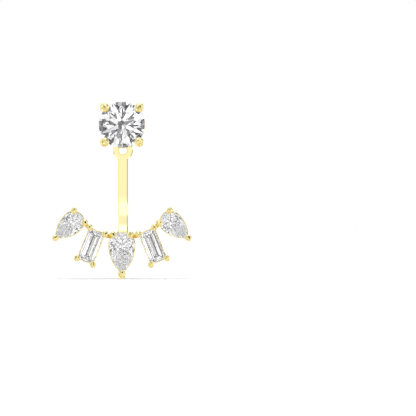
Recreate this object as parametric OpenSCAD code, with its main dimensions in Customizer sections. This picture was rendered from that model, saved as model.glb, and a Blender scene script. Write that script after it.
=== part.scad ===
// Stud earring with a hanging jacket.
// A round stone sits in a four-prong basket on a straight post. Behind the ear lobe the post
// carries a jacket: an eyelet plate and a flat bar that drops, bends forward under the lobe
// and ends in a fan of five set stones. A friction back closes the post.
// Frame: the post lies along Y and the wearer's front is -Y. +Z is up. The origin is the
// middle of the lobe's stretch of the post.

/* [Round stone] */
// Diameter of the round stone at its girdle
round_d = 5.75; // [5.6:0.05:5.9]
// Share of the diameter that a brilliant's table takes
table_share = 0.57; // [0.53:0.01:0.6]
// Angle of the round stone's crown mains
crown_angle = 34.5; // [32:0.5:36]
// Angle of the round stone's pavilion mains
pavilion_angle = 40.75; // [40:0.25:42]
// Thickness of the round stone's girdle
round_girdle = 0.17; // [0.15:0.01:0.22]

/* [Fan stones] */
// Width of the middle pear
pear_w = 3.16; // [3:0.01:3.3]
// Length of the middle pear
pear_l = 5.06; // [4.9:0.01:5.2]
// Size of the outer pears against the middle one
outer_pear_scale = 0.82; // [0.79:0.005:0.85]
// Width of a baguette
baguette_w = 1.98; // [1.9:0.01:2.05]
// Length of a baguette
baguette_l = 4; // [3.9:0.01:4.1]
// Girdle thickness of the fan stones
fan_girdle = 0.12; // [0.1:0.01:0.15]

/* [Fan layout] */
// Drop from the post to the round end of the middle pear
fan_drop = 13.46; // [13.4:0.01:13.5]
// Sideways distance from the middle to a baguette's centre
baguette_x = 3.84; // [3.8:0.01:3.9]
// Drop from the post to a baguette's centre
baguette_drop = 15.16; // [15.1:0.01:15.2]
// Lean of a baguette from upright
baguette_lean = 22.2; // [21:0.1:23]
// Sideways distance from the middle to an outer pear's head centre
outer_pear_x = 6.08; // [6.04:0.01:6.14]
// Drop from the post to an outer pear's head centre
outer_pear_drop = 12.17; // [12.1:0.01:12.25]
// Lean of an outer pear from upright
outer_pear_lean = 48.5; // [47:0.1:50]

/* [Post and back] */
// Radius of the ear post
post_r = 0.43; // [0.38:0.01:0.45]
// Length of the post behind the stud's base
post_l = 10; // [9.5:0.1:11]
// Space for the ear lobe between the stud's base and the jacket's plate
lobe_gap = 5.1; // [5:0.05:5.3]
// Radius of the friction back's disc
back_r = 2.15; // [1.9:0.05:2.3]
// Depth of the friction back along the post
back_l = 2.3; // [2:0.1:2.8]

/* [Jacket] */
// Thickness of the eyelet plate and the bar
plate_t = 1; // [0.8:0.05:1.2]
// Outer radius of an eyelet
eyelet_r = 1.265; // [1.2:0.005:1.35]
// Radius of an eyelet's hole
eyelet_hole_r = 0.52; // [0.5:0.01:0.55]
// Distance between the two eyelets' holes
eyelet_pitch = 3.11; // [3:0.01:3.3]
// Width of the bar
bar_w = 1.25; // [1.1:0.01:1.4]
// Drop from the post to where the bar starts to bend
bar_drop = 10; // [9.9:0.02:10.1]
// Radius of the bend's front face
bend_r = 4.4; // [4.2:0.05:4.6]

/* [Settings] */
// Height of the stud's basket from its base to the girdle
stud_basket_h = 3.25; // [3.2:0.05:3.5]
// Radius of the stud's prong tips
stud_ball_r = 0.58; // [0.54:0.01:0.62]
// Radius of the stud's prong wires
stud_wire_r = 0.4; // [0.35:0.01:0.45]
// Height of the fan's baskets from their base to the girdle
fan_basket_h = 1.9; // [1.8:0.05:2.1]
// Radius of the fan's prong tips
fan_ball_r = 0.41; // [0.37:0.01:0.43]
// Radius of the middle pear's point prong tip
point_ball_r = 0.52; // [0.47:0.01:0.54]
// Radius of the fan's prong wires
fan_wire_r = 0.27; // [0.24:0.01:0.3]
// Radius of the short bridges between neighbouring baskets
bridge_r = 0.24; // [0.2:0.01:0.26]

/* [Hidden] */

$fn = 48;
GOLD = "gold";
DIAMOND = "aliceblue";

// Clearance between a stone and the metal round it, and between the back and its post
SEAT_GAP = 0.02;
// Free play along the post between the jacket's plate and the back
PLATE_PLAY = 0.1;
// How far two soldered pieces run into each other
OVERLAP = 0.3;

// Depths along the post: the viewer is at -Y
BASE_Y = -lobe_gap / 2;
GIRDLE_Y = BASE_Y - stud_basket_h;
PLATE_Y = lobe_gap / 2;
BACK_Y = PLATE_Y + plate_t + PLATE_PLAY;
FAN_BASE_Y = GIRDLE_Y + fan_basket_h;
BEND_Y = PLATE_Y - bend_r;

// A brilliant's facets: 8 mains, and between two mains the rim runs in 2 halves of 4 steps
MAINS = 8;
HALF_STEPS = 4;
SPAN = 2 * HALF_STEPS;
RIM = MAINS * SPAN;
// How far the star facets reach from the table's edge to the girdle
STAR_REACH = 0.5;
// How far the lower halves reach from the girdle to the culet
LOWER_HALF_REACH = 0.77;

// The round stone's heights over and under its girdle
round_r = round_d / 2;
ROUND_CROWN = round_r * (1 - table_share) * tan(crown_angle);
ROUND_PAVILION = round_r * tan(pavilion_angle);

// A pear's head is a half circle of this radius, and its tail reaches on to the point
pear_r = pear_w / 2;
pear_tail = pear_l - pear_r;
PEAR_CROWN = 0.5;
PEAR_PAVILION = 1.33;

// A pear's pavilion: facets in a row, the two rows' shares of the way from keel to rim, how far
// the facets bulge, and how far along the tail the keel runs; facet PEAR_TIP lies over the point
PEAR_ROW = 16;
PEAR_ROWS = [0.74, 0.5];
PEAR_BULGE = 1.5;
KEEL_SHARE = 0.8;
PEAR_TIP = 3 * PEAR_ROW / 4;

// A step cut's rows: inset as a share of half the width, and height as a share of the crown or
// of the pavilion
CROWN_STEPS = [[0.4, 1], [0.17, 0.55], [0, 0]];
PAVILION_STEPS = [[0, 0], [0.18, 0.32], [0.48, 0.66]];
STEP_CROWN = 0.24;
STEP_PAVILION = 1.05;

// The stud's basket: a base disc, four leaning prongs and an outer rail
STUD_BASE_R = 1.75;
STUD_BASE_T = 0.5;
STUD_FOOT_R = 1.6;
STUD_TIP_R = 3.06;
STUD_TIP_Z = 0.33;
STUD_RAIL_R = 2.62;
STUD_RAIL_WIRE_R = 0.28;
STUD_RAIL_Z = -1.1;

// The fan's baskets: two rails that follow the stone, and upright prongs with ball tips
RAIL_OUT = 0.12;
RAIL_IN = 0.25;
RAIL_H = 0.4;
FAN_TIP_Z = 0.17;
POINT_TIP_Z = 0.14;
// Gap between a stone's edge and the middle of its prong tip
HEAD_TIP_OUT = 0.17;
MIDDLE_POINT_OUT = 0.22;
OUTER_POINT_OUT = 0.14;
CORNER_TIP_OUT = 0.08;
// Angles of the head prongs above the widest place of a pear
MIDDLE_HEAD_ANGLE = 50;
OUTER_HEAD_ANGLE = 45;
// Depth of the bridges behind the girdle, and how far under a baguette's prong they end
BRIDGE_Z = -0.35;
UNDER_PRONG = 0.2;

function mix(a, b, share) = a + (b - a) * share;
function on_level(p, z) = [p[0], p[1], z];
function turned(p, angle) =
    [p[0] * cos(angle) - p[1] * sin(angle), p[0] * sin(angle) + p[1] * cos(angle)];
function mirrored(p) = [-p[0], p[1]];

// Height of the plane through a, b and c over the flat point p
function plane_z(a, b, c, p) =
    let (n = cross(b - a, c - a))
    a[2] - (n[0] * (p[0] - a[0]) + n[1] * (p[1] - a[1])) / n[2];

// A pear outline: a half-round head and two circular wings that meet at the point
function wing_r(r, tail) = (r * r + tail * tail) / (2 * r);
function pear_point(u, r, tail) =
    let (wing = wing_r(r, tail), sweep = asin(tail / wing))
    u <= 180 ? r * [cos(u), sin(u)]
    : u <= 270 ? let (b = sweep * (u - 180) / 90) [wing - r - wing * cos(b), -wing * sin(b)]
    : let (b = sweep * (360 - u) / 90) [wing * cos(b) - wing + r, -wing * sin(b)];
function pear_rim(r, tail) = [for (i = [0:RIM - 1]) pear_point(360 * i / RIM, r, tail)];

// The tail of a pear outline moved outward by out
function moved_tail(r, tail, out) =
    let (wing = wing_r(r, tail)) sqrt(pow(wing + out, 2) - pow(wing - r, 2));
function moved_pear(r, tail, out) = pear_rim(r + out, moved_tail(r, tail, out));

function arc(centre, r, from, to, steps) =
    [for (i = [0:steps]) let (a = mix(from, to, i / steps)) centre + r * [cos(a), sin(a)]];

// Turns a piece made face up, with +Y as its top, to face the viewer at the girdle's depth
module face_front(at, lean = 0) {
    translate([at[0], GIRDLE_Y, at[1]])
        rotate([90, 0, 0])
            rotate(lean)
                children();
}

// Where the points of a brilliant start in its list: table, stars, upper and lower rim, pavilion
STARS_AT = MAINS;
UPPER_AT = STARS_AT + MAINS;
LOWER_AT = UPPER_AT + RIM;
PAVILION_AT = LOWER_AT + RIM;

function main_pt(rim, k) = rim[(k * SPAN) % RIM];
function half_pt(rim, k) = rim[(k * SPAN + HALF_STEPS) % RIM];

// Moves each rim point up or down onto the plane of the half facet that it ends
function cut_rim(rim, inner, z) = [for (i = [0:RIM - 1])
    let (k = floor(i / SPAN), end = main_pt(rim, i % SPAN < HALF_STEPS ? k : k + 1))
    on_level(rim[i], plane_z(inner[k], on_level(end, z), on_level(half_pt(rim, k), z), rim[i]))];

// Table, stars and upper rim of a crown over a closed rim; the kites' side corners lie on the
// mains' planes
function crown_points(rim, top, crown) =
    let (star_side = mix(table_share * cos(180 / MAINS), 1, STAR_REACH) * cos(180 / MAINS),
         star_z = top + crown * (1 - star_side) / (1 - table_share),
         table = [for (k = [0:MAINS - 1]) on_level(main_pt(rim, k) * table_share, top + crown)],
         stars = [for (k = [0:MAINS - 1])
             let (table_edge = (main_pt(rim, k) + main_pt(rim, k + 1)) * table_share / 2)
             on_level(mix(table_edge, half_pt(rim, k), STAR_REACH), star_z)])
    concat(table, stars, cut_rim(rim, stars, top));

// The faces of the crown and of the girdle
CROWN_FACES = concat(
    [[for (k = [MAINS - 1:-1:0]) k]],
    [for (k = [0:MAINS - 1]) each
        let (main = UPPER_AT + k * SPAN, star = STARS_AT + k)
        [[k, (k + 1) % MAINS, star],
         [k, star, main],
         [k, main, STARS_AT + (k + MAINS - 1) % MAINS]]],
    [for (i = [0:RIM - 1]) each
        let (j = (i + 1) % RIM)
        [[STARS_AT + floor(i / SPAN), UPPER_AT + j, UPPER_AT + i],
         [UPPER_AT + i, UPPER_AT + j, LOWER_AT + i],
         [UPPER_AT + j, LOWER_AT + j, LOWER_AT + i]]]);

// A round brilliant: 8 pavilion mains and 16 lower halves meet at the culet
module round_brilliant(r, girdle, crown, pavilion) {
    rim = [for (i = [0:RIM - 1]) r * [cos(360 * i / RIM), sin(360 * i / RIM)]];
    top = girdle / 2;
    low_share = 1 - LOWER_HALF_REACH;
    low_z = -top - pavilion * (1 - low_share * cos(180 / MAINS));
    lows = [for (k = [0:MAINS - 1]) on_level(half_pt(rim, k) * low_share, low_z)];
    culet = PAVILION_AT + MAINS;
    faces = concat(
        CROWN_FACES,
        [for (k = [0:MAINS - 1]) each
            let (main = LOWER_AT + k * SPAN)
            [[PAVILION_AT + k, culet, main],
             [main, culet, PAVILION_AT + (k + MAINS - 1) % MAINS]]],
        [for (i = [0:RIM - 1])
            [LOWER_AT + i, LOWER_AT + (i + 1) % RIM, PAVILION_AT + floor(i / SPAN)]]);
    polyhedron(concat(crown_points(rim, top, crown), cut_rim(rim, lows, -top), lows,
                      [[0, 0, -top - pavilion]]), faces);
}

// The place on a pear's keel where the facets under rim angle u end
function keel_point(u, tail) =
    u <= 180 ? [0, 0] : [0, -tail * KEEL_SHARE * (min(u, 540 - u) - 180) / 90];

// A pear brilliant: its pavilion has three rows of facets, down to a keel from culet to tail.
// The keel's points lie half a facet apart, from the culet on, and each serves both sides.
module pear_brilliant(r, tail, girdle, crown, pavilion) {
    rim = pear_rim(r, tail);
    top = girdle / 2;
    step = 360 / PEAR_ROW;
    function keel_at(half) = max(0, min(half, 3 * PEAR_ROW - half) - PEAR_ROW);
    function low_point(u, share) =
        let (edge = pear_point(u, r, tail), foot = keel_point(u, tail),
             depth = pavilion * min(1, norm(edge - foot) / r) * (1 - pow(share, PEAR_BULGE)))
        on_level(mix(foot, edge, share), -top - depth);
    row1 = [for (k = [0:PEAR_ROW - 1]) low_point((k + 0.5) * step, PEAR_ROWS[0])];
    row2 = [for (k = [0:PEAR_ROW - 1]) low_point(k * step, PEAR_ROWS[1])];
    keel = [for (half = [PEAR_ROW:PEAR_TIP * 2 - 1]) low_point(half * step / 2, 0)];
    row1_at = PAVILION_AT;
    row2_at = row1_at + PEAR_ROW;
    keel_from = row2_at + PEAR_ROW;
    faces = concat(
        CROWN_FACES,
        [for (i = [0:RIM - 1])
            [LOWER_AT + i, LOWER_AT + (i + 1) % RIM, row1_at + floor(i * PEAR_ROW / RIM)]],
        [for (k = [0:PEAR_ROW - 1]) each
            let (next = (k + 1) % PEAR_ROW, prev = (k + PEAR_ROW - 1) % PEAR_ROW,
                 rim_at = LOWER_AT + k * RIM / PEAR_ROW,
                 before = keel_from + keel_at(2 * k),
                 under = keel_from + keel_at(2 * k + 1),
                 after = keel_from + keel_at((2 * k + 2) % (2 * PEAR_ROW)))
            concat([[rim_at, row1_at + k, row2_at + k],
                    [rim_at, row2_at + k, row1_at + prev],
                    [row1_at + k, under, row2_at + k],
                    [row1_at + k, row2_at + next, under]],
                   under != before && k != PEAR_TIP ? [[row2_at + k, under, before]] : [],
                   under != after && next != PEAR_TIP ? [[row2_at + next, after, under]] : [])]);
    polyhedron(concat(crown_points(rim, top, crown), [for (p = rim) on_level(p, -top)],
                      row1, row2, keel), faces);
}

// A step cut: stacked rectangles from the table down to a keel along the stone's length
module step_cut(width, length, girdle, crown, pavilion) {
    w = width / 2;
    l = length / 2;
    rows = concat([for (s = CROWN_STEPS) [s[0] * w, girdle / 2 + crown * s[1]]],
                  [for (s = PAVILION_STEPS) [s[0] * w, -girdle / 2 - pavilion * s[1]]]);
    corners = [for (r = rows, side = [[1, 1], [-1, 1], [-1, -1], [1, -1]])
        [side[0] * (w - r[0]), side[1] * (l - r[0]), r[1]]];
    keel = len(corners);
    last = keel - 4;
    keel_z = -girdle / 2 - pavilion;
    faces = concat(
        [[3, 2, 1, 0]],
        [for (s = [0:len(rows) - 2], i = [0:3]) let (j = (i + 1) % 4)
            [4 * s + i, 4 * s + j, 4 * s + 4 + j, 4 * s + 4 + i]],
        [[last, last + 1, keel],
         [last + 1, last + 2, keel + 1, keel],
         [last + 2, last + 3, keel + 1],
         [last + 3, last, keel, keel + 1]]);
    polyhedron(concat(corners, [[0, l - w, keel_z], [0, w - l, keel_z]]), faces);
}

// A ball tip on an upright wire that starts at the basket's base
module upright_prong(at, ball_r, tip_z) {
    translate([at[0], at[1], -fan_basket_h])
        cylinder(r = fan_wire_r, h = fan_basket_h + tip_z);
    translate([at[0], at[1], tip_z])
        sphere(ball_r);
}

// Two rails between an outer and an inner outline: one under the girdle, one at the base
module rails(outer, inner) {
    for (z = [-RAIL_H, -fan_basket_h])
        translate([0, 0, z])
            linear_extrude(RAIL_H)
                difference() {
                    polygon(outer);
                    polygon(inner);
                }
}

// A pear's stone and setting share the middle pear's outline, scaled by share
module pear_stone(share, grow = 0) {
    scale((pear_r * share + grow) / pear_r)
        pear_brilliant(pear_r, pear_tail, fan_girdle, PEAR_CROWN, PEAR_PAVILION);
}

function head_prong(share, angle) = (pear_r * share + HEAD_TIP_OUT) * [cos(angle), sin(angle)];

module pear_basket(share, head_angle, point_r, point_out) {
    r = pear_r * share;
    tail = pear_tail * share;
    difference() {
        union() {
            rails(moved_pear(r, tail, RAIL_OUT), moved_pear(r, tail, -RAIL_IN));
            for (angle = [head_angle, 180 - head_angle])
                upright_prong(head_prong(share, angle), fan_ball_r, FAN_TIP_Z);
            upright_prong([0, -tail - point_out], point_r, POINT_TIP_Z);
        }
        pear_stone(share, SEAT_GAP);
    }
}

module baguette_stone(grow = 0) {
    step_cut(baguette_w + 2 * grow, baguette_l + 2 * grow, fan_girdle + 2 * grow,
             STEP_CROWN, STEP_PAVILION);
}

function box_outline(w, l) = [[w, l], [-w, l], [-w, -l], [w, -l]] / 2;
function corner_prong(side, end) =
    [side * (baguette_w / 2 + CORNER_TIP_OUT), end * (baguette_l / 2 + CORNER_TIP_OUT)];

module baguette_basket() {
    difference() {
        union() {
            rails(box_outline(baguette_w + 2 * RAIL_OUT, baguette_l + 2 * RAIL_OUT),
                  box_outline(baguette_w - 2 * RAIL_IN, baguette_l - 2 * RAIL_IN));
            for (side = [-1, 1], end = [-1, 1])
                upright_prong(corner_prong(side, end), fan_ball_r, FAN_TIP_Z);
        }
        baguette_stone(SEAT_GAP);
    }
}

// Places and leans of the fan's stones; the left ones mirror the right ones
MIDDLE_AT = [0, -fan_drop - pear_r];
BAGUETTE_AT = [baguette_x, -baguette_drop];
OUTER_AT = [outer_pear_x, -outer_pear_drop];

// A round bar between two places in the fan's plane, behind the girdle
module bridge(from, to) {
    along = to - from;
    translate([from[0], GIRDLE_Y - BRIDGE_Z, from[1]])
        rotate([0, 90 - atan2(along[1], along[0]), 0])
            cylinder(r = bridge_r, h = norm(along));
}

// The bridges of the right half: outer pear to baguette, and baguette to middle pear
module right_bridges() {
    outer_prong = OUTER_AT
        + turned(head_prong(outer_pear_scale, 180 - OUTER_HEAD_ANGLE), outer_pear_lean);
    outer_corner = BAGUETTE_AT + turned(corner_prong(1, 1) - [0, UNDER_PRONG], baguette_lean);
    inner_corner = BAGUETTE_AT + turned(corner_prong(-1, 1) - [0, UNDER_PRONG], baguette_lean);
    middle_angle = MIDDLE_HEAD_ANGLE - 10;
    middle_edge = MIDDLE_AT + pear_r * [cos(middle_angle), sin(middle_angle)];
    bridge(outer_prong, outer_corner);
    bridge(inner_corner, middle_edge);
}

// Outline of the eyelet plate and the bar in the plane of the plate, Y up
NECK_FILLET_R = 0.95;
BAR_FILLET_R = 0.25;
neck_angle = asin(eyelet_pitch / 2 / (eyelet_r + NECK_FILLET_R));
neck_x = (eyelet_r + NECK_FILLET_R) * cos(neck_angle);
bar_angle = acos((bar_w / 2 + BAR_FILLET_R) / (eyelet_r + BAR_FILLET_R));
bar_fillet_y = -eyelet_pitch - (eyelet_r + BAR_FILLET_R) * sin(bar_angle);
plate_right = concat(
    arc([0, 0], eyelet_r, 90, -neck_angle, 18),
    arc([neck_x, -eyelet_pitch / 2], NECK_FILLET_R, 180 - neck_angle, 180 + neck_angle, 10),
    arc([0, -eyelet_pitch], eyelet_r, neck_angle, -bar_angle, 14),
    arc([bar_w / 2 + BAR_FILLET_R, bar_fillet_y], BAR_FILLET_R, 180 - bar_angle, 180, 5),
    [[bar_w / 2, -bar_drop]]);
plate_left = [for (i = [len(plate_right) - 1:-1:1]) mirrored(plate_right[i])];

module eyelet_plate() {
    translate([0, PLATE_Y + plate_t, 0])
        rotate([90, 0, 0])
            linear_extrude(plate_t)
                polygon(concat(plate_right, plate_left));
}

module eyelet_holes() {
    for (z = [0, -eyelet_pitch])
        translate([0, PLATE_Y + plate_t / 2, z])
            rotate([90, 0, 0])
                cylinder(r = eyelet_hole_r, h = 2 * plate_t, center = true);
}

// The bar bends forward in a quarter turn, then runs to the base of the middle basket, where a
// cross bar carries it into the base rail
module bent_bar() {
    translate([0, BEND_Y, -bar_drop])
        rotate([0, 90, 0])
            rotate_extrude(angle = 90)
                translate([bend_r, -bar_w / 2])
                    square([plate_t, bar_w]);
    translate([-bar_w / 2, FAN_BASE_Y - RAIL_H / 2, -bar_drop - bend_r - plate_t])
        cube([bar_w, BEND_Y - FAN_BASE_Y + RAIL_H / 2, plate_t]);
    translate([-pear_r, FAN_BASE_Y - RAIL_H, -bar_drop - bend_r - plate_t])
        cube([pear_w, RAIL_H, plate_t]);
}

module jacket_frame() {
    color(GOLD) {
        difference() {
            eyelet_plate();
            eyelet_holes();
        }
        bent_bar();
        face_front(MIDDLE_AT)
            pear_basket(1, MIDDLE_HEAD_ANGLE, point_ball_r, MIDDLE_POINT_OUT);
        for (side = [-1, 1]) {
            face_front([side * OUTER_AT[0], OUTER_AT[1]], side * outer_pear_lean)
                pear_basket(outer_pear_scale, OUTER_HEAD_ANGLE, fan_ball_r, OUTER_POINT_OUT);
            face_front([side * BAGUETTE_AT[0], BAGUETTE_AT[1]], side * baguette_lean)
                baguette_basket();
        }
        right_bridges();
        mirror([1, 0, 0])
            right_bridges();
    }
}

// The round stone is set with a corner between two mains at its top
module round_stone(grow = 0) {
    rotate(180 / MAINS)
        scale((round_r + grow) / round_r)
            round_brilliant(round_r, round_girdle, ROUND_CROWN, ROUND_PAVILION);
}

// A prong leans out from the basket's base to its ball tip on the crown's edge
module stud_prong() {
    foot_z = -stud_basket_h + STUD_BASE_T / 2;
    rise = STUD_TIP_Z - foot_z;
    out = STUD_TIP_R - STUD_FOOT_R;
    translate([STUD_FOOT_R, 0, foot_z])
        rotate([0, atan2(out, rise), 0])
            cylinder(r = stud_wire_r, h = norm([out, rise]));
    translate([STUD_TIP_R, 0, STUD_TIP_Z])
        sphere(stud_ball_r);
}

// The post ends in a tapered tip
module ear_post() {
    end = BASE_Y + post_l;
    rotate([-90, 0, 0])
        rotate_extrude()
            polygon([[0, BASE_Y - OVERLAP], [post_r, BASE_Y - OVERLAP], [post_r, end - post_r],
                     [post_r / 2, end], [0, end]]);
}

module stud_basket() {
    base_edge = STUD_BASE_T / 4;
    translate([0, 0, -stud_basket_h])
        rotate_extrude()
            polygon([[0, 0], [STUD_BASE_R - base_edge, 0], [STUD_BASE_R, base_edge],
                     [STUD_BASE_R, STUD_BASE_T - base_edge],
                     [STUD_BASE_R - base_edge, STUD_BASE_T], [0, STUD_BASE_T]]);
    translate([0, 0, STUD_RAIL_Z])
        rotate_extrude()
            translate([STUD_RAIL_R, 0])
                circle(STUD_RAIL_WIRE_R);
    for (angle = [45:90:315])
        rotate(angle)
            stud_prong();
}

module stud_setting() {
    color(GOLD) {
        face_front([0, 0])
            difference() {
                stud_basket();
                round_stone(SEAT_GAP);
            }
        ear_post();
    }
}

module stud_stone() {
    color(DIAMOND)
        face_front([0, 0])
            round_stone();
}

// A flanged barrel that grips the post
module ear_back() {
    flange_t = 0.6;
    barrel_r = 1.3;
    edge = 0.15;
    bore_r = post_r + SEAT_GAP;
    color(GOLD)
        translate([0, BACK_Y, 0])
            rotate([-90, 0, 0])
                rotate_extrude()
                    polygon([[bore_r, 0], [back_r - edge, 0], [back_r, edge],
                             [back_r, flange_t - edge], [back_r - edge, flange_t],
                             [barrel_r, flange_t + edge], [barrel_r, back_l - 2 * edge],
                             [barrel_r - 2 * edge, back_l], [bore_r, back_l]]);
}

module pear_middle() {
    color(DIAMOND)
        face_front(MIDDLE_AT)
            pear_stone(1);
}

module outer_pear(side) {
    color(DIAMOND)
        face_front([side * OUTER_AT[0], OUTER_AT[1]], side * outer_pear_lean)
            pear_stone(outer_pear_scale);
}

module baguette(side) {
    color(DIAMOND)
        face_front([side * BAGUETTE_AT[0], BAGUETTE_AT[1]], side * baguette_lean)
            baguette_stone();
}

stud_setting();
stud_stone();
ear_back();
jacket_frame();
pear_middle();
outer_pear(-1);  // pear_left
outer_pear(1);  // pear_right
baguette(-1);  // baguette_left
baguette(1);  // baguette_right
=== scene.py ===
"""The looks of a diamond jacket earring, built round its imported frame.

Polished yellow gold carries colourless diamonds: a round stone on an ear post, and behind the
lobe a flat bar that bends forward under it into a fan of five stones. The gold is modelled here
with rounded edges, pressed prong tips and an eased bend; the stones are the frame's own.
"""
import math

import bmesh
import bpy
from mathutils import Matrix, Vector


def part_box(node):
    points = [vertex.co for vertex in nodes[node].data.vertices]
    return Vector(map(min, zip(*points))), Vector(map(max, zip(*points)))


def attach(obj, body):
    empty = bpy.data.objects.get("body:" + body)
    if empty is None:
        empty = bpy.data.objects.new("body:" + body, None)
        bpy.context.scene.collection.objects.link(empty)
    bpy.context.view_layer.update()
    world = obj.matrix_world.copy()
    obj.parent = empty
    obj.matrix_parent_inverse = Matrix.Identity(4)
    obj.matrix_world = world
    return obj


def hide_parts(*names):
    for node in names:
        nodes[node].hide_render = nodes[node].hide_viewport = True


bpy.ops.wm.read_factory_settings(use_empty=True)
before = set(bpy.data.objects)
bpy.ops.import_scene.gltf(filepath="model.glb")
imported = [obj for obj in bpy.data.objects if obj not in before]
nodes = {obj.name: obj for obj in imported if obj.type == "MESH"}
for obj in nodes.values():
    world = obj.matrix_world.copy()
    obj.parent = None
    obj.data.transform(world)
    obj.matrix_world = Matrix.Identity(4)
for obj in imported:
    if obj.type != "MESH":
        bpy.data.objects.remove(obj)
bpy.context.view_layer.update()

MM = 0.001

# Sizes of the construction, in millimetres: the viewer is at -Y. Z is height, and in a basket it
# is the height over its stone's girdle, towards the viewer.
GIRDLE_Y = -5.8
BASE_Y = -2.55
PLATE_Y = 2.55
BACK_Y = 3.65
PLATE_T = 1.0

STUD_BASKET_H = 3.25
STUD_WIRE_R = 0.4
STUD_BALL_R = 0.58
STUD_FOOT_R = 1.6
STUD_FOOT_Z = -3.0
STUD_TIP_R = 3.06
STUD_TIP_Z = 0.33
STUD_RAIL_R = 2.62
STUD_RAIL_WIRE_R = 0.28
STUD_RAIL_Z = -1.1
STUD_BASE_R = 1.75
STUD_BASE_T = 0.5
POST_R = 0.43
POST_END_Y = 7.45
POST_ROOT = 0.3

BACK_R = 2.15
BACK_BORE_R = 0.45
BACK_BARREL_R = 1.3
BACK_FLANGE_T = 0.6
BACK_FLANGE_SLOPE = 0.1
BACK_L = 2.3
TURNED_RIM_R = 0.16

EYELET_R = 1.265
EYELET_HOLE_R = 0.52
EYELET_PITCH = 3.11
NECK_FILLET_R = 0.95
BAR_FILLET_R = 0.25
BAR_W = 1.25
BEND_START = 10.0
BEND_R = 4.4
BEND_EASE = 1.5
BAR_EDGE = 0.125

PEAR_R = 1.58
PEAR_TAIL = 3.48
OUTER_PEAR_SCALE = 0.82
BAGUETTE_W = 1.98
BAGUETTE_L = 4.0
BAGUETTE_CORNER_R = 0.2
FAN_BASKET_H = 1.9
FAN_WIRE_R = 0.27
FAN_BALL_R = 0.41
POINT_BALL_R = 0.52
FAN_TIP_Z = 0.17
POINT_TIP_Z = 0.14
HEAD_TIP_OUT = 0.17
MIDDLE_POINT_OUT = 0.22
OUTER_POINT_OUT = 0.14
CORNER_TIP_OUT = 0.08
MIDDLE_HEAD_ANGLE = 50
OUTER_HEAD_ANGLE = 45
RAIL_OUT = 0.12
RAIL_IN = -0.25
RAIL_H = 0.4
RAIL_EDGE_R = 0.07
BRIDGE_R = 0.24
BRIDGE_Z = -0.35
MIDDLE_BRIDGE_ANGLE = 40
UNDER_PRONG = 0.2

MIDDLE_AT = (0.0, -15.04)
OUTER_AT = (6.08, -12.17)
OUTER_LEAN = 48.5
BAGUETTE_AT = (3.84, -15.16)
BAGUETTE_LEAN = 22.2

# A pressed prong tip, as shares of its radius: how much lower it gets, how far its top moves over
# the stone, and how square its ridge is seen from the side
TIP_PRESS = 0.12
TIP_LEAN = 0.15
RIDGE = 3.0

# A prong's foot is filed round: the radius it starts with and its length, as shares of the wire's
# radius
PRONG_FOOT = (0.8, 0.15)

# How much larger than its stone the cutter is that makes a stone's seat in the metal
SEAT_GROW = 0.02

# How finely the pieces are drawn: sides round a wire, a turned piece, the post and an eyelet hole,
# and points of a basket's outline
WIRE_SIDES = 24
TURNED_SIDES = 64
POST_SIDES = 32
HOLE_SIDES = 36
OUTLINE_POINTS = 96
# Steps in a small rounding, a block's edge, a prong tip, the post's end, the sides of the upper and
# the lower eyelet, the neck between them, and the bar's bend
ROUNDING_STEPS = 6
BLOCK_STEPS = 5
TIP_STEPS = 20
POST_END_STEPS = 8
EYELET_STEPS = (30, 22)
NECK_STEPS = 14
BEND_STEPS = 60
# Where the cuts start that let the bar bend, and how far apart they are
BAR_CUTS_FROM = 8.0
BAR_CUT_GAP = 0.2
# What would end in a point on its axis keeps a tiny flat: as a share of a tip's radius, as a radius,
# and as the angle that the post's round end starts from
TIP_FLAT = 0.03
DISC_FLAT = 0.02
POST_END_FROM = -80
# Points this near each other are one: in a stone, in metres, and where the bar is cut
STONE_WELD = 1e-7
CUT_WELD = 1e-6
# Edges that turn less than this many degrees look smooth
SMOOTH_BELOW = 20

# The camera stands level, straight in front of the middle between the pair
CAMERA_X = 10.77
CAMERA_Z = -10.4
CAMERA_DISTANCE = 678
VIEW_WIDTH = 52
SENSOR_WIDTH = 36
NEAREST_SEEN = 10
FARTHEST_SEEN = 10000
FLOOR_Z = -19.27
FLOOR_SIZE = 4000


def linear(hex_colour):
    """Turns an sRGB hex colour into linear red, green, blue and alpha."""
    channels = [int(hex_colour[i:i + 2], 16) / 255 for i in (1, 3, 5)]
    return [c / 12.92 if c <= 0.04045 else ((c + 0.055) / 1.055) ** 2.4 for c in channels] + [1.0]


def add(tree, kind, settings=None, **inputs):
    """Adds a shader node with its settings and inputs.

    An input is named by its label with _ for a space, or i and its number. Its value is plain,
    or a (node, output) pair to link from.
    """
    node = tree.nodes.new(kind)
    for key, value in (settings or {}).items():
        setattr(node, key, value)
    for key, value in inputs.items():
        number = key[1:]
        socket = node.inputs[int(number) if number.isdigit() else key.replace("_", " ")]
        if isinstance(value, tuple) and isinstance(value[0], bpy.types.Node):
            tree.links.new(value[0].outputs[value[1]], socket)
        else:
            socket.default_value = value
    return node


def new_material(name):
    """A material whose node tree is still empty."""
    material = bpy.data.materials.new(name)
    material.use_nodes = True
    material.node_tree.nodes.clear()
    return material


def turned(point, angle):
    """Turns a flat point by an angle in degrees."""
    c, s = math.cos(math.radians(angle)), math.sin(math.radians(angle))
    return (point[0] * c - point[1] * s, point[0] * s + point[1] * c)


def arc(centre, radius, start, end, steps):
    """Points along an arc from one angle to another, in degrees."""
    angles = [math.radians(start + (end - start) * i / steps) for i in range(steps + 1)]
    return [(centre[0] + radius * math.cos(a), centre[1] + radius * math.sin(a)) for a in angles]


def circle(centre, radius, sides):
    """A ring of points whose last one stands a side before the first."""
    return arc(centre, radius, 0, 360 * (sides - 1) / sides, sides - 1)


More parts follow.
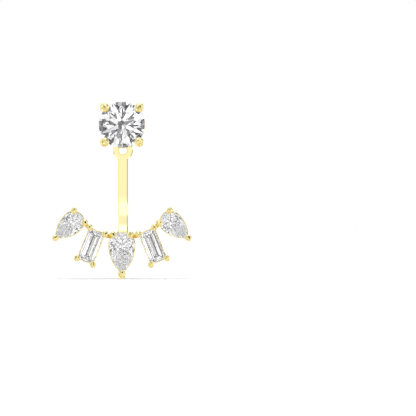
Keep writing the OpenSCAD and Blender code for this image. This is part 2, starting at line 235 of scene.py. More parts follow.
def face_front(at, lean=0.0):
    """Places a piece made face up, with +Y as its top, facing the viewer at the girdle's depth."""
    return (Matrix.Translation(Vector((at[0], GIRDLE_Y, at[1])) * MM)
            @ Matrix.Rotation(math.radians(90), 4, "X")
            @ Matrix.Rotation(math.radians(lean), 4, "Z")
            @ Matrix.Scale(MM, 4))


# Places a piece that is already drawn in the earring's own millimetres
IN_PLACE = Matrix.Scale(MM, 4)


def skin(place, rings, loop=False):
    """A closed shell over rings of points in millimetres; a loop's last ring meets its first."""
    shell = bmesh.new()
    rows = [[shell.verts.new(place @ Vector(point)) for point in ring] for ring in rings]
    for row, after in zip(rows, rows[1:] + rows[:1] if loop else rows[1:]):
        for i in range(len(row)):
            j = (i + 1) % len(row)
            shell.faces.new((row[i], row[j], after[j], after[i]))
    if not loop:
        shell.faces.new(rows[0][::-1])
        shell.faces.new(rows[-1])
    bmesh.ops.recalc_face_normals(shell, faces=shell.faces)
    return shell


def rod(place, start, end, stations, lean_to):
    """A rod from start to end.

    Each station is a distance along the rod, its radius there, its radius towards lean_to, and how
    far it leans that way.
    """
    start, end, lean_to = Vector(start), Vector(end), Vector(lean_to)
    axis = (end - start).normalized()
    side = (lean_to - axis * lean_to.dot(axis)).normalized()
    other = axis.cross(side)
    turns = circle((0, 0), 1, WIRE_SIDES)
    rings = []
    for along, radius, long_radius, aside in stations:
        centre = start + axis * along + side * aside
        rings.append([centre + side * x * long_radius + other * y * radius for x, y in turns])
    return skin(place, rings)


def prong(place, foot, tip, wire_r, ball_r, inward):
    """A wire with a ball tip, which a setting tool has pressed into a low ridge over the stone."""
    length = (Vector(tip) - Vector(foot)).length
    neck_angle = math.asin(wire_r / ball_r)
    foot_r, foot_length = wire_r * PRONG_FOOT[0], wire_r * PRONG_FOOT[1]
    stations = [(0.0, foot_r, foot_r, 0.0), (foot_length, wire_r, wire_r, 0.0)]
    for i in range(TIP_STEPS + 1):
        angle = neck_angle + (math.pi - neck_angle) * i / TIP_STEPS
        height = -math.cos(angle)
        over = max(0.0, height)
        radius = max(TIP_FLAT, math.sin(angle))
        long_radius = max(TIP_FLAT, (1 - over ** RIDGE) ** (1 / RIDGE)) if over else radius
        stations.append((length + ball_r * height * (1 - TIP_PRESS * over ** 2), ball_r * radius,
                         ball_r * long_radius, TIP_LEAN * ball_r * over ** 2))
    return rod(place, foot, tip, stations, inward)


def lathe(place, profile, sides):
    """Turns a profile of (radius, height) points about the local Z axis; it has no hole."""
    return skin(place, [[(x, y, z) for x, y in circle((0, 0), r, sides)] for r, z in profile])


def rounded(profile, radius):
    """Rounds every corner of a closed flat profile."""
    points = []
    for i, corner in enumerate(profile):
        corner = Vector(corner)
        before = Vector(profile[i - 1]) - corner
        after = Vector(profile[(i + 1) % len(profile)]) - corner
        reach = min(radius, before.length / 2, after.length / 2)
        start, end = corner + before.normalized() * reach, corner + after.normalized() * reach
        for k in range(ROUNDING_STEPS + 1):
            t = k / ROUNDING_STEPS
            points.append(tuple(start * (1 - t) ** 2 + corner * 2 * t * (1 - t) + end * t ** 2))
    return points


def rail(place, outline, section):
    """Sweeps a section of (outward, height) points along an outline that outline(outward) gives."""
    columns = [(outline(out), z) for out, z in section]
    count = len(columns[0][0])
    return skin(place, [[(points[i][0], points[i][1], z) for points, z in columns]
                        for i in range(count)], loop=True)


def block(place, low, high, edge):
    """A block with bevelled edges."""
    shell = bmesh.new()
    low, high = Vector(low), Vector(high)
    shape = place @ Matrix.Translation((low + high) / 2) @ Matrix.Diagonal((*(high - low), 1.0))
    bmesh.ops.create_cube(shell, size=1, matrix=shape)
    bmesh.ops.bevel(shell, geom=shell.edges, offset=edge * MM, segments=BLOCK_STEPS, profile=0.5,
                    affect="EDGES")
    return shell


def pear_point(share_of_turn, r, tail):
    """A point of a pear outline: a half-round head, then two circular wings down to the tip."""
    wing = (r * r + tail * tail) / (2 * r)
    sweep = math.asin(tail / wing)
    u = 360 * share_of_turn
    if u <= 180:
        return (r * math.cos(math.radians(u)), r * math.sin(math.radians(u)))
    side = -1 if u <= 270 else 1
    b = sweep * (u - 180 if u <= 270 else 360 - u) / 90
    return (side * (wing * math.cos(b) - wing + r), -wing * math.sin(b))


def pear_outline(share):
    """Gives the outline of a pear stone scaled by share, moved outward by any amount."""
    r, tail = PEAR_R * share, PEAR_TAIL * share
    wing = (r * r + tail * tail) / (2 * r)

    def outline(out):
        moved_tail = math.sqrt((wing + out) ** 2 - (wing - r) ** 2)
        return [pear_point(i / OUTLINE_POINTS, r + out, moved_tail) for i in range(OUTLINE_POINTS)]
    return outline


def baguette_outline(out):
    """The outline of a baguette, moved outward; its corners are rounded a little."""
    corner = BAGUETTE_CORNER_R + out / 2
    x, y = BAGUETTE_W / 2 + out - corner, BAGUETTE_L / 2 + out - corner
    points = []
    for right, up, start in ((1, 1, 0), (-1, 1, 90), (-1, -1, 180), (1, -1, 270)):
        points += arc((right * x, up * y), corner, start, start + 90, ROUNDING_STEPS)
    return points


def round_outline(radius):
    """Gives the outline of a round setting, moved outward by any amount."""
    return lambda out: circle((0, 0), radius + out, OUTLINE_POINTS)


def stone_cutter(name):
    """A copy of a stone, a little larger about its middle, that cuts the stone's seat."""
    shell = bmesh.new()
    shell.from_mesh(nodes[name].data)
    bmesh.ops.remove_doubles(shell, verts=shell.verts, dist=STONE_WELD)
    low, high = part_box(name)
    middle = (Vector(low) + Vector(high)) / 2
    grow = Matrix.Scale(1 + 2 * SEAT_GROW * MM / (high[0] - low[0]), 4)
    bmesh.ops.transform(shell, matrix=grow, space=Matrix.Translation(-middle), verts=shell.verts)
    bmesh.ops.recalc_face_normals(shell, faces=shell.faces)
    return shell


def as_object(name, shell):
    """Makes a shell an object with slots for the gold and for the solder, whose colour is partly painted
    shade.
    """
    mesh = bpy.data.meshes.new(name)
    mesh.materials.append(gold)
    mesh.materials.append(solder_and_painted_shade)
    shell.to_mesh(mesh)
    shell.free()
    thing = bpy.data.objects.new(name, mesh)
    bpy.context.scene.collection.objects.link(thing)
    return thing


def combined(target, shells, operation):
    """Joins the shells to the target, or cuts them from it, and gives the new mesh."""
    group = bpy.data.collections.new("shells")
    bpy.context.scene.collection.children.link(group)
    tools = []
    for shell in shells:
        tool = as_object("tool", shell)
        group.objects.link(tool)
        tools.append(tool)
    step = target.modifiers.new("combine", "BOOLEAN")
    step.operation = operation
    step.solver = "MANIFOLD"
    step.operand_type = "COLLECTION"
    step.collection = group
    graph = bpy.context.evaluated_depsgraph_get()
    mesh = bpy.data.meshes.new_from_object(target.evaluated_get(graph))
    target.modifiers.clear()
    target.data = mesh
    for tool in tools:
        bpy.data.objects.remove(tool)
    bpy.data.collections.remove(group)


# The slot of the solder, whose deeper yellow is partly painted shade, on every piece of metal; the gold's
# is 0
SOLDER_AND_SHADE_SLOT = 1


def goldwork(name, shells, body, replaced, stones=()):
    """Solders the shells into one piece of polished gold, with a seat cut for each stone."""
    piece = as_object(name, shells[0])
    if len(shells) > 1:
        combined(piece, shells[1:], "UNION")
    if stones:
        combined(piece, [stone_cutter(stone) for stone in stones], "DIFFERENCE")
    piece.name = name
    piece.data.name = name
    piece.data.shade_smooth()
    piece.data.set_sharp_from_angle(angle=math.radians(SMOOTH_BELOW))
    weighted = piece.modifiers.new("weighted normals", "WEIGHTED_NORMAL")
    weighted.keep_sharp = True
    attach(piece, body)
    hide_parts(replaced)
    return piece


# Materials

GOLD_HEX = "#FFF1B6"
GOLD_ROUGHNESS = (0.04, 0.10)
# The solder's colour: a deeper amber yellow, partly its own and partly painted shade between the baskets
SOLDER_AND_SHADE_HEX = "#E9BC4A"
SOLDER_ROUGHNESS = (0.15, 0.25)
# Buffing hairlines are a few hundredths of a millimetre apart; drawn this far apart to show
HAIRLINE_GAP = 0.15
# The pusher leaves dents on the prong tips: their size and depth
DENT_SIZE = 0.8
TIP_DENT = 0.15
# The fronts of the prong tips lie before this depth, and all other gold behind it
TIP_DEPTH_Y = -5.4
TIP_DEPTH_EASE = 0.2

DIAMOND_IOR = 2.417
GIRDLE_ROUGHNESS = 0.25
# A stone is frosted where it looks forward or back by less than the first of these cosines, and
# polished from the second on; only its girdle lies that steep
GIRDLE_TILT = (0.05, 0.1)


def yellow_gold(name, colour_hex, roughness_range):
    """14 carat yellow gold, cast, soldered and buffed.

    The eye sees clear warm reflections, softened a little where the buff left fine hairlines.
    Each prong tip was pushed over its stone by hand, and so mirrors the room a little differently.
    """
    material = new_material(name)
    tree = material.node_tree
    place = add(tree, "ShaderNodeTexCoord")
    hairlines = add(tree, "ShaderNodeTexNoise", Vector=(place, "Object"),
                    Scale=1 / (HAIRLINE_GAP * MM), Detail=2.0)
    dents = add(tree, "ShaderNodeTexNoise", Vector=(place, "Object"),
                Scale=1 / (DENT_SIZE * MM), Detail=0.0)
    depth = add(tree, "ShaderNodeSeparateXYZ", Vector=(place, "Object"))
    on_tips = add(tree, "ShaderNodeMapRange", Value=(depth, "Y"),
                  From_Min=(TIP_DEPTH_Y + TIP_DEPTH_EASE) * MM,
                  From_Max=(TIP_DEPTH_Y - TIP_DEPTH_EASE) * MM)
    roughness = add(tree, "ShaderNodeMapRange", Value=(hairlines, "Fac"), To_Min=roughness_range[0],
                    To_Max=roughness_range[1])
    bump = add(tree, "ShaderNodeBump", Height=(dents, "Fac"), Strength=(on_tips, "Result"),
               Distance=TIP_DENT * MM)
    metal = add(tree, "ShaderNodeBsdfPrincipled", Base_Color=linear(colour_hex), Metallic=1.0,
                Roughness=(roughness, "Result"), Normal=(bump, "Normal"))
    # The setting isn't seen through the stones, as in a stone whose light all turns back
    path = add(tree, "ShaderNodeLightPath")
    unseen = add(tree, "ShaderNodeBsdfTransparent")
    mixed = add(tree, "ShaderNodeMixShader", Fac=(path, "Is Transmission Ray"), i1=(metal, "BSDF"),
                i2=(unseen, "BSDF"))
    add(tree, "ShaderNodeOutputMaterial", Surface=(mixed, "Shader"))
    return material


def polished_diamond():
    """Colourless diamond, cut and polished on a wheel; its thin girdle is left frosted.

    The eye sees sharp bright and dark facets, and a fine matt line round the stone's edge.
    """
    material = new_material("polished_diamond")
    tree = material.node_tree
    surface = add(tree, "ShaderNodeNewGeometry")
    facing = add(tree, "ShaderNodeVectorMath", {"operation": "DOT_PRODUCT"},
                 i0=(surface, "True Normal"), i1=(0, 1, 0))
    tilt = add(tree, "ShaderNodeMath", {"operation": "ABSOLUTE"}, i0=(facing, "Value"))
    roughness = add(tree, "ShaderNodeMapRange", Value=(tilt, "Value"), From_Min=GIRDLE_TILT[0],
                    From_Max=GIRDLE_TILT[1], To_Min=GIRDLE_ROUGHNESS, To_Max=0.0)
    stone = add(tree, "ShaderNodeBsdfPrincipled", Base_Color=(1, 1, 1, 1), IOR=DIAMOND_IOR,
                Roughness=(roughness, "Result"), Transmission_Weight=1.0)
    # The metal mirrors the studio and not the stones: a mirrored ray that has entered no stone goes on
    path = add(tree, "ShaderNodeLightPath")
    outside = add(tree, "ShaderNodeMath", {"operation": "LESS_THAN"},
                  i0=(path, "Transmission Depth"), i1=0.5)
    mirrored = add(tree, "ShaderNodeMath", {"operation": "MULTIPLY"}, i0=(path, "Is Glossy Ray"),
                   i1=(outside, "Value"))
    unseen = add(tree, "ShaderNodeBsdfTransparent")
    mixed = add(tree, "ShaderNodeMixShader", Fac=(mirrored, "Value"), i1=(stone, "BSDF"),
                i2=(unseen, "BSDF"))
    add(tree, "ShaderNodeOutputMaterial", Surface=(mixed, "Shader"))
    return material


gold = yellow_gold("polished_yellow_gold", GOLD_HEX, GOLD_ROUGHNESS)
# Solder joints lie too deep for the buff: satin, and of a deeper yellow. That deeper amber yellow is partly
# the solder's own and partly painted shade, standing in for the shade that falls on the bridges between the
# baskets
solder_and_painted_shade = yellow_gold("solder_gold_with_painted_shade", SOLDER_AND_SHADE_HEX, SOLDER_ROUGHNESS)
diamond = polished_diamond()
for name, node in nodes.items():
    node.data.materials.clear()
    node.data.materials.append(gold if name in ("stud_setting", "ear_back", "jacket_frame") else diamond)

# The stud: basket, prongs and post

FLAT_RAIL = rounded([(RAIL_OUT, -RAIL_H), (RAIL_OUT, 0), (RAIL_IN, 0), (RAIL_IN, -RAIL_H)], RAIL_EDGE_R)


def disc(low_z, high_z, radius):
    """A disc's profile with rounded rims."""
    edge = TURNED_RIM_R
    return ([(DISC_FLAT, low_z)] + arc((radius - edge, low_z + edge), edge, -90, 0, ROUNDING_STEPS)
            + arc((radius - edge, high_z - edge), edge, 0, 90, ROUNDING_STEPS) + [(DISC_FLAT, high_z)])


def stud_metal():
    """Basket, outer rail and ear post of the round stone."""
    place = face_front((0, 0))
    base = disc(-STUD_BASKET_H, -STUD_BASKET_H + STUD_BASE_T, STUD_BASE_R)
    shells = [lathe(place, base, TURNED_SIDES)]
    for angle in (45, 135, 225, 315):
        foot, tip = turned((STUD_FOOT_R, 0), angle), turned((STUD_TIP_R, 0), angle)
        shells.append(prong(place, (*foot, STUD_FOOT_Z), (*tip, STUD_TIP_Z), STUD_WIRE_R, STUD_BALL_R,
                            (-foot[0], -foot[1], 0)))
    wire = circle((0, STUD_RAIL_Z), STUD_RAIL_WIRE_R, WIRE_SIDES)
    shells.append(rail(place, round_outline(STUD_RAIL_R), wire))
    end = GIRDLE_Y - POST_END_Y
    round_end = arc((0, end + POST_R), POST_R, POST_END_FROM, 0, POST_END_STEPS)
    post = round_end + [(POST_R, GIRDLE_Y - BASE_Y + POST_ROOT)]
    shells.append(lathe(place, post, POST_SIDES))
    return goldwork("stud_metal", shells, "stud", "stud_setting", ["stud_stone"])


def friction_back():
    """A plain flanged barrel with rounded rims and a bore."""
    section = rounded([(BACK_BORE_R, 0), (BACK_R, 0), (BACK_R, BACK_FLANGE_T),
                       (BACK_BARREL_R, BACK_FLANGE_T + BACK_FLANGE_SLOPE),
                       (BACK_BARREL_R, BACK_L), (BACK_BORE_R, BACK_L)], TURNED_RIM_R)
    front_z = GIRDLE_Y - BACK_Y
    shell = rail(face_front((0, 0)), round_outline(0), [(r, front_z - depth) for r, depth in section])
    return goldwork("friction_back", [shell], "stud", "ear_back")


# The jacket: eyelet plate and bar

def bar_path(along):
    """Front face of the bar at a distance along it: (y, z, turn in radians).

    The bend comes in slowly round its start, and then has an even radius.
    """
    if along <= BEND_START - BEND_EASE:
        return (PLATE_Y, -along, 0.0)
    y, z, turn = PLATE_Y, -(BEND_START - BEND_EASE), 0.0
    length = (along - (BEND_START - BEND_EASE)) / BEND_STEPS
    for i in range(BEND_STEPS):
        s = (i + 0.5) * length
        if s < 2 * BEND_EASE:
            turn = s * s / (4 * BEND_EASE * BEND_R)
        else:
            turn = (s - BEND_EASE) / BEND_R
        turn = min(turn, math.pi / 2)
        y -= math.sin(turn) * length
        z -= math.cos(turn) * length
    return (y, z, turn)


# The bar's bevelled edges turn by more than this, in radians, and border a face that looks forward
# or back by more than this, as a cosine
SHARP_TURN = 1.2
BROAD_FACE = 0.9


def eyelet_bar():
    """Eyelet plate and bar, drawn flat with bevelled edges and then bent forward."""
    neck_angle = math.degrees(math.asin(EYELET_PITCH / 2 / (EYELET_R + NECK_FILLET_R)))
    neck_x = (EYELET_R + NECK_FILLET_R) * math.cos(math.radians(neck_angle))
    fillet_x = BAR_W / 2 + BAR_FILLET_R
    fillet_angle = math.degrees(math.acos(fillet_x / (EYELET_R + BAR_FILLET_R)))
    fillet_y = -EYELET_PITCH - (EYELET_R + BAR_FILLET_R) * math.sin(math.radians(fillet_angle))
    foot_y = GIRDLE_Y + FAN_BASKET_H - RAIL_H / 2
    end = BEND_START + math.pi / 2 * BEND_R + (PLATE_Y - BEND_R) - foot_y
    neck = arc((neck_x, -EYELET_PITCH / 2), NECK_FILLET_R, 180 - neck_angle, 180 + neck_angle,
               NECK_STEPS)
    fillet = arc((fillet_x, fillet_y), BAR_FILLET_R, 180 - fillet_angle, 180, ROUNDING_STEPS)
    right = (arc((0, 0), EYELET_R, 90, -neck_angle, EYELET_STEPS[0]) + neck[1:]
             + arc((0, -EYELET_PITCH), EYELET_R, neck_angle, -fillet_angle, EYELET_STEPS[1])[1:]
             + fillet[1:] + [(BAR_W / 2, -end)])
    left = [(-x, y) for x, y in reversed(right[1:])]
    holes = [circle((0, y), EYELET_HOLE_R, HOLE_SIDES) for y in (0, -EYELET_PITCH)]
    shell = bmesh.new()
    rims = []
    for loop in [right + left] + holes:
        verts = [shell.verts.new((x, 0, y)) for x, y in loop]
        rims += [shell.edges.new((a, b)) for a, b in zip(verts, verts[1:] + verts[:1])]
    bmesh.ops.triangle_fill(shell, edges=rims, use_beauty=True, use_dissolve=False)
    sheet = bmesh.ops.extrude_face_region(shell, geom=shell.faces)
    back = [v for v in sheet["geom"] if isinstance(v, bmesh.types.BMVert)]
    bmesh.ops.translate(shell, verts=back, vec=(0, PLATE_T, 0))
    bmesh.ops.recalc_face_normals(shell, faces=shell.faces)
    sharp = [e for e in shell.edges if len(e.link_faces) == 2 and e.calc_face_angle() > SHARP_TURN
             and any(abs(f.normal.y) > BROAD_FACE for f in e.link_faces)]
    bmesh.ops.bevel(shell, geom=sharp, offset=BAR_EDGE, segments=1, affect="EDGES")
    cut = BAR_CUTS_FROM
    while cut < end:
        bmesh.ops.bisect_plane(shell, geom=shell.verts[:] + shell.edges[:] + shell.faces[:],
                               plane_co=(0, 0, -cut), plane_no=(0, 0, 1), dist=CUT_WELD)
        cut += BAR_CUT_GAP
    for vert in shell.verts:
        x, depth, along = vert.co.x, vert.co.y, -vert.co.z
        y, z, turn = bar_path(along)
        vert.co = Vector((x, y + depth * math.cos(turn), z - depth * math.sin(turn))) * MM
    return shell


# The fan: five baskets and the bridges between them

def upright_prong(place, at, ball_r, tip_z):
    """A prong of a fan basket, pressed towards the basket's middle."""
    return prong(place, (*at, -FAN_BASKET_H), (*at, tip_z), FAN_WIRE_R, ball_r, (-at[0], -at[1], 0))


def rails(place, outline):
    """The upper and lower rail of a fan basket."""
    low = [(out, z - FAN_BASKET_H + RAIL_H) for out, z in FLAT_RAIL]
    return [rail(place, outline, FLAT_RAIL), rail(place, outline, low)]


def head_prong(share, angle):
    """Where a prong stands at a pear's round head."""
    return turned((PEAR_R * share + HEAD_TIP_OUT, 0), angle)


def pear_basket(place, share, head_angle, point_r, point_out):
    """Rails, two prongs at the head and one over the point."""
    shells = rails(place, pear_outline(share))
    for angle in (head_angle, 180 - head_angle):
        shells.append(upright_prong(place, head_prong(share, angle), FAN_BALL_R, FAN_TIP_Z))
    shells.append(upright_prong(place, (0, -PEAR_TAIL * share - point_out), point_r, POINT_TIP_Z))
    return shells


def corner_prong(side, end):
    """Where a prong stands at a baguette's corner."""
    return (side * (BAGUETTE_W / 2 + CORNER_TIP_OUT), end * (BAGUETTE_L / 2 + CORNER_TIP_OUT))


def under_prong(side):
    """Where a bridge meets a baguette's basket, just under its upper prong."""
    x, y = corner_prong(side, 1)
    return (x, y - UNDER_PRONG)


def baguette_basket(place):
    """Rails and a prong at each corner."""
    shells = rails(place, baguette_outline)
    for side in (-1, 1):
        for end in (-1, 1):
            shells.append(upright_prong(place, corner_prong(side, end), FAN_BALL_R, FAN_TIP_Z))
    return shells


def moved(at, offset, angle=0.0):
    """A stone's place with an offset from it, which turns with the stone."""
    x, y = turned(offset, angle)
    return (at[0] + x, at[1] + y)


# No bridge runs this way, so each can start its round section from it
ACROSS_BRIDGES = (0.3, 0.9, 0.2)


def bridge(side, start, end):
    """A short round bar between two baskets, behind the girdle."""
    ends = [(side * x, GIRDLE_Y - BRIDGE_Z, z) for x, z in (start, end)]
    length = (Vector(ends[1]) - Vector(ends[0])).length
    stations = [(along, BRIDGE_R, BRIDGE_R, 0) for along in (0, length / 2, length)]
    bar = rod(IN_PLACE, *ends, stations, ACROSS_BRIDGES)
    # The bridges take the solder's colour, which is partly painted shade between the baskets
    for face in bar.faces:
        face.material_index = SOLDER_AND_SHADE_SLOT
    return bar


def jacket_metal():
    """Eyelet plate, bar, its foot behind the middle basket, five baskets and four bridges."""
    foot_z = -BEND_START - BEND_R
    foot = block(IN_PLACE, (-PEAR_R, GIRDLE_Y + FAN_BASKET_H - RAIL_H, foot_z - PLATE_T),
                 (PEAR_R, GIRDLE_Y + FAN_BASKET_H, foot_z), RAIL_EDGE_R)
    shells = [eyelet_bar(), foot]
    middle = face_front(MIDDLE_AT)
    shells += pear_basket(middle, 1.0, MIDDLE_HEAD_ANGLE, POINT_BALL_R, MIDDLE_POINT_OUT)
    for side in (-1, 1):
        outer = face_front((side * OUTER_AT[0], OUTER_AT[1]), side * OUTER_LEAN)
        shells += pear_basket(outer, OUTER_PEAR_SCALE, OUTER_HEAD_ANGLE, FAN_BALL_R, OUTER_POINT_OUT)
        baguette = face_front((side * BAGUETTE_AT[0], BAGUETTE_AT[1]), side * BAGUETTE_LEAN)
        shells += baguette_basket(baguette)
        outer_end = moved(OUTER_AT, head_prong(OUTER_PEAR_SCALE, 180 - OUTER_HEAD_ANGLE), OUTER_LEAN)
        shells.append(bridge(side, outer_end, moved(BAGUETTE_AT, under_prong(1), BAGUETTE_LEAN)))
        middle_end = moved(MIDDLE_AT, turned((PEAR_R, 0), MIDDLE_BRIDGE_ANGLE))
        shells.append(bridge(side, moved(BAGUETTE_AT, under_prong(-1), BAGUETTE_LEAN), middle_end))
    return goldwork("jacket_metal", shells, "jacket", "jacket_frame",
                    ["pear_middle", "pear_left", "pear_right", "baguette_left", "baguette_right"])


# The bar doesn't mirror the stud in front of it
stud_metal().visible_glossy = False
friction_back()
jacket_metal()

# Floor: matt white paper, which takes a soft shadow and shows in neither metal nor stones
FLOOR_HEX = "#F3F3F3"

bpy.ops.mesh.primitive_plane_add(size=FLOOR_SIZE * MM, location=(0, 0, FLOOR_Z * MM))
floor = bpy.context.object
floor.name = "floor"
floor.visible_glossy = False
floor.visible_transmission = False
white_floor = new_material("white_floor")
paper = add(white_floor.node_tree, "ShaderNodeBsdfDiffuse", Color=linear(FLOOR_HEX))
add(white_floor.node_tree, "ShaderNodeOutputMaterial", Surface=(paper, "BSDF"))
floor.data.materials.append(white_floor)

# The studio. Polished metal reflects a row of soft boxes, by the turn from straight ahead over the
# top to the back in degrees, and their brightness there. They stand in line with the earring: the
# row ends softly between two angles aside, given as sines.
SOFT_BOXES = (
    (-180, 1.00), (-120, 0.90), (-60, 0.95), (-20, 1.00), (0, 1.03), (3.5, 1.16), (10, 1.80), (18, 2.05),
    (27, 1.65), (33, 1.32), (38, 1.08), (46, 1.02), (54, 1.00), (63, 1.00), (68, 1.14), (72, 1.40),
    (76, 1.80), (80, 2.00), (88, 2.00), (94, 1.80), (99, 1.46), (120, 1.20), (150, 1.10), (180, 1.00))
ROW_END = (0.05, 0.13)
# The light to the left and right of the row: its brightness straight ahead and far aside, between
# which angles it changes, how much its softer and stronger patches differ from it, and its warm
# tint, which fades out between two heights of a direction
SIDE_LIGHT = (0.80, 0.96)
SIDE_LIGHT_ANGLES = (40, 100)
SIDE_PATCHES = (0.6, 1.45)
SIDE_PATCH_EDGES = (0.4, 0.6)
SIDE_PATCH_SCALE = 2.5
SIDE_HEX = "#FFFDEA"
SIDE_TINT_HEIGHTS = (0.1, 0.9)
# Dark cards: a direction (right, up, ahead), a radius in degrees, and how much light it takes away.
# The metal's stand ahead on both sides, high on the right and far to the left.
DARK_CARDS = (
    ((0.30, 0.30, 0.90), 17, 0.98),
    ((-0.40, 0.62, 0.68), 17, 0.75),
    ((0.80, 0.48, -0.36), 22, 0.60),
    ((-1.00, 0.00, 0.00), 20, 0.27))
# A card's soft edge lies between these shares of its radius
CARD_EDGE = (0.8, 1.2)
# Amber ground, low behind the earring: where it lies, and between which angles it ends
GROUND_HEADING = (0, -0.65, -0.76)
GROUND_ANGLES = (19, 49.4)
GROUND_HEX = "#FBE2A6"

# What leaves a stone meets a bright tent. Between these angles from straight ahead its light goes
# over into the light behind. Its cloth is lit in softer and stronger patches.
TENT_LIGHT = 1.48
BEHIND_LIGHT = 1.08
TENT_ANGLES = (60, 110)
TENT_PATCHES = (0.6, 1.25)
TENT_PATCH_EDGES = (0.35, 0.65)
TENT_PATCH_SCALE = 4
TENT_PATCH_SEED = 3
# Dark cards hang in rings round the tent's opening, and a large one to the left: how many, how far
# from straight ahead, the turn of the first one, their radius, and how much light they take away
TENT_RINGS = (
    (5, 20, 20, 8, 0.95),
    (8, 38, 10, 9, 0.95),
    (7, 50, 30, 14, 0.95),
    (1, 70, 190, 25, 0.90))
# What a stone's faces mirror on the outside is dim and even
SHEEN_HEX = "#868690"
# The floor is lit by a pale room and a lamp overhead, whose light ends between these angles
ROOM_HEX = "#F9FAFF"
ROOM_LIGHT = 0.4
LAMP_LIGHT = 4.1
LAMP_ANGLES = (10, 40)
# A stone sends light round many times before it leaves
LIGHT_BOUNCES = 24

AHEAD = (0, 0, 1)
OVERHEAD = (0, 1, 0)

world = bpy.data.worlds.new("studio")
bpy.context.scene.world = world
world.use_nodes = True
studio = world.node_tree
studio.nodes.clear()
direction = add(studio, "ShaderNodeTexCoord")


def around(heading, angles, near, far):
    """A value that is near up to the first angle from a heading, and eases to far at the second."""
    right, up, ahead = heading
    inner, outer = (math.cos(math.radians(angle)) for angle in angles)
    closeness = add(studio, "ShaderNodeVectorMath", {"operation": "DOT_PRODUCT"},
                    i0=(direction, "Generated"), i1=Vector((right, -ahead, up)).normalized())
    eased = add(studio, "ShaderNodeMapRange", {"interpolation_type": "SMOOTHSTEP"},
                Value=(closeness, "Value"), From_Min=outer, From_Max=inner, To_Min=far, To_Max=near)
    return (eased, "Result")


def behind_cards(light, cards):
    """The light that is left where cards stand in it."""
    for heading, radius, taken in cards:
        shade = around(heading, [radius * share for share in CARD_EDGE], 1.0 - taken, 1.0)
        left = add(studio, "ShaderNodeMath", {"operation": "MULTIPLY"}, i0=light, i1=shade)
        light = (left, "Value")
    return light


def in_patches(light, noise, edges, patches):
    """The light in softer and stronger patches, whose edges lie between two values of a noise."""
    patch = add(studio, "ShaderNodeMapRange", {"interpolation_type": "SMOOTHSTEP"}, Value=(noise, "Fac"),
                From_Min=edges[0], From_Max=edges[1], To_Min=patches[0], To_Max=patches[1])
    lit = add(studio, "ShaderNodeMath", {"operation": "MULTIPLY"}, i0=light, i1=(patch, "Result"))
    return (lit, "Value")


# What metal mirrors: the row of soft boxes, and the light beside it
parts = add(studio, "ShaderNodeSeparateXYZ", Vector=(direction, "Generated"))
ahead_part = add(studio, "ShaderNodeMath", {"operation": "MULTIPLY"}, i0=(parts, "Y"), i1=-1.0)
turn = add(studio, "ShaderNodeMath", {"operation": "ARCTAN2"}, i0=(parts, "Z"), i1=(ahead_part, "Value"))
turn_share = add(studio, "ShaderNodeMapRange", Value=(turn, "Value"), From_Min=-math.pi, From_Max=math.pi)
boxes = add(studio, "ShaderNodeValToRGB", Fac=(turn_share, "Result"))
ramp = boxes.color_ramp
while len(ramp.elements) < len(SOFT_BOXES):
    ramp.elements.new(0.5)
for element, (angle, brightness) in zip(ramp.elements, SOFT_BOXES):
    element.position = (angle + 180) / 360
    element.color = (brightness, brightness, brightness, 1)
side_part = add(studio, "ShaderNodeMath", {"operation": "ABSOLUTE"}, i0=(parts, "X"))
aside = add(studio, "ShaderNodeMapRange", {"interpolation_type": "SMOOTHSTEP"},
            Value=(side_part, "Value"), From_Min=ROW_END[0], From_Max=ROW_END[1])
side_noise = add(studio, "ShaderNodeTexNoise", Vector=(direction, "Generated"), Scale=SIDE_PATCH_SCALE,
                 Detail=0.0)
side_light = in_patches(around(AHEAD, SIDE_LIGHT_ANGLES, *SIDE_LIGHT), side_noise, SIDE_PATCH_EDGES,
                        SIDE_PATCHES)
row_and_sides = add(studio, "ShaderNodeMix", {"data_type": "FLOAT"}, Factor=(aside, "Result"),
                    i2=(boxes, "Color"), i3=side_light)
low_share = add(studio, "ShaderNodeMapRange", {"interpolation_type": "SMOOTHSTEP"},
                Value=(parts, "Z"), From_Min=SIDE_TINT_HEIGHTS[1], From_Max=SIDE_TINT_HEIGHTS[0])
warmth = add(studio, "ShaderNodeMath", {"operation": "MULTIPLY"}, i0=(aside, "Result"),
             i1=(low_share, "Result"))
side_tint = add(studio, "ShaderNodeMix", {"data_type": "RGBA"}, Factor=(warmth, "Value"),
                i6=(1, 1, 1, 1), i7=linear(SIDE_HEX))
tint = add(studio, "ShaderNodeMix", {"data_type": "RGBA"},
           Factor=around(GROUND_HEADING, GROUND_ANGLES, 1.0, 0.0), i6=(side_tint, 2), i7=linear(GROUND_HEX))
metal_light = add(studio, "ShaderNodeBackground", Color=(tint, 2),
                  Strength=behind_cards((row_and_sides, 0), DARK_CARDS))

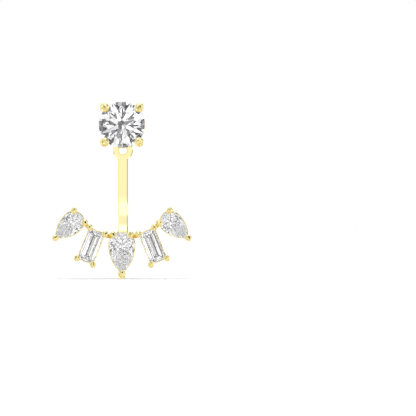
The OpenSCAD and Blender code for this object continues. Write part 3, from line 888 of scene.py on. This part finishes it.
# What the stones show: the tent's cloth, and the cards round its opening
tent_noise = add(studio, "ShaderNodeTexNoise", {"noise_dimensions": "4D"}, Vector=(direction, "Generated"),
                 W=TENT_PATCH_SEED, Scale=TENT_PATCH_SCALE, Detail=1.0)
tent = in_patches(around(AHEAD, TENT_ANGLES, TENT_LIGHT, BEHIND_LIGHT), tent_noise, TENT_PATCH_EDGES,
                  TENT_PATCHES)
tent_cards = []
for count, away, first, radius, taken in TENT_RINGS:
    for i in range(count):
        right, up = turned((math.sin(math.radians(away)), 0), first + 360 * i / count)
        tent_cards.append(((right, up, math.cos(math.radians(away))), radius, taken))
gem_light = add(studio, "ShaderNodeBackground", Color=(1, 1, 1, 1), Strength=behind_cards(tent, tent_cards))

sheen = add(studio, "ShaderNodeBackground", Color=linear(SHEEN_HEX), Strength=1.0)
room = add(studio, "ShaderNodeBackground", Color=linear(ROOM_HEX),
           Strength=around(OVERHEAD, LAMP_ANGLES, LAMP_LIGHT, ROOM_LIGHT))
backdrop = add(studio, "ShaderNodeBackground", Color=(1, 1, 1, 1), Strength=1.0)

# Each kind of ray gets its own light: the later ones go over the earlier ones
path = add(studio, "ShaderNodeLightPath")
light = (room, "Background")
for kind, source in (("Is Glossy Ray", metal_light), ("Is Singular Ray", sheen),
                     ("Is Transmission Ray", gem_light), ("Is Camera Ray", backdrop)):
    mixed = add(studio, "ShaderNodeMixShader", Fac=(path, kind), i1=light, i2=(source, "Background"))
    light = (mixed, "Shader")
add(studio, "ShaderNodeOutputWorld", Surface=light)

# Camera
camera_data = bpy.data.cameras.new("camera")
camera = bpy.data.objects.new("camera", camera_data)
bpy.context.scene.collection.objects.link(camera)
camera.location = Vector((CAMERA_X, GIRDLE_Y - CAMERA_DISTANCE, CAMERA_Z)) * MM
camera.rotation_euler = (math.radians(90), 0, 0)
camera_data.sensor_width = SENSOR_WIDTH
camera_data.lens = SENSOR_WIDTH * CAMERA_DISTANCE / VIEW_WIDTH
camera_data.clip_start = NEAREST_SEEN * MM
camera_data.clip_end = FARTHEST_SEEN * MM
bpy.context.scene.camera = camera

scene = bpy.context.scene
scene.view_settings.view_transform = "Standard"
scene.cycles.max_bounces = LIGHT_BOUNCES
scene.cycles.glossy_bounces = LIGHT_BOUNCES
scene.cycles.transmission_bounces = LIGHT_BOUNCES
